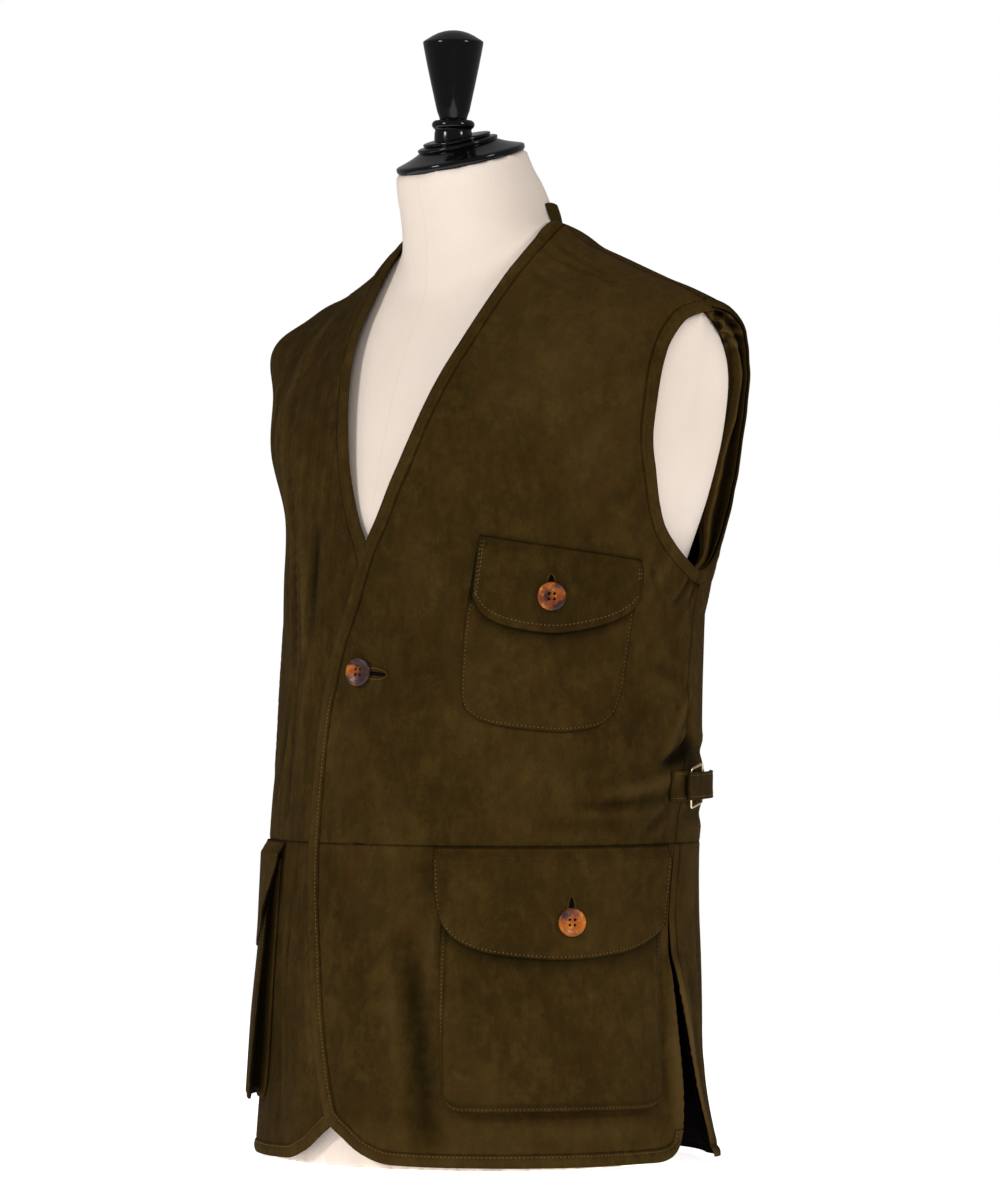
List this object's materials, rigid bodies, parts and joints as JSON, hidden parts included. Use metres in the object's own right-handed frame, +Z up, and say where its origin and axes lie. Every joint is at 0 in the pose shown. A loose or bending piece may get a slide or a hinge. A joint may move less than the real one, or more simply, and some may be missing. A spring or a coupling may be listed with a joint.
{
  "type": "leather vest on a dress form",
  "caption": "Sleeveless suede vest with a V neck, waist seam, flapped pockets and side straps, worn by a limbless dress form with a lacquered cap and finial.",
  "frame": {"origin": "on the floor under the dress form, at its centre plane", "axes": "+Z up, the front of the vest faces -Y, the wearer's left is +X"},
  "size_m": [0.4428, 0.3379, 0.9125],
  "materials": {
    "suede": "napped, dull",
    "lining": "smooth twill",
    "canvas": "tight canvas, dull",
    "lacquer": "black gloss lacquer on turned wood",
    "horn": "polished tortoiseshell pattern",
    "wire": "pale gold, polished"
  },
  "bodies": {
    "root": {"dress_form": "canvas", "neck_cap": "lacquer", "finial": "lacquer", "front_left": "suede", "front_right": "suede", "skirt_left": "suede", "skirt_right": "suede", "back": "suede", "back_skirt": "suede", "back_lining": "lining", "band_left": "suede", "band_right": "suede", "neck_stand": "suede", "armhole_facing_left": "suede", "armhole_facing_right": "suede", "chest_pocket": "suede", "chest_flap": "suede", "low_pocket_left": "suede", "low_pocket_right": "suede", "low_gusset_left": "suede", "low_gusset_right": "suede", "low_flap_left": "suede", "low_flap_right": "suede", "side_tab_left": "suede", "side_tab_right": "suede", "strap_left": "suede", "strap_right": "suede", "strap_end_left": "suede", "strap_end_right": "suede", "buckle_left": "wire", "buckle_right": "wire", "button_front": "horn", "button_chest": "horn", "button_left": "horn", "button_right": "horn"}
  },
  "joints": []
}
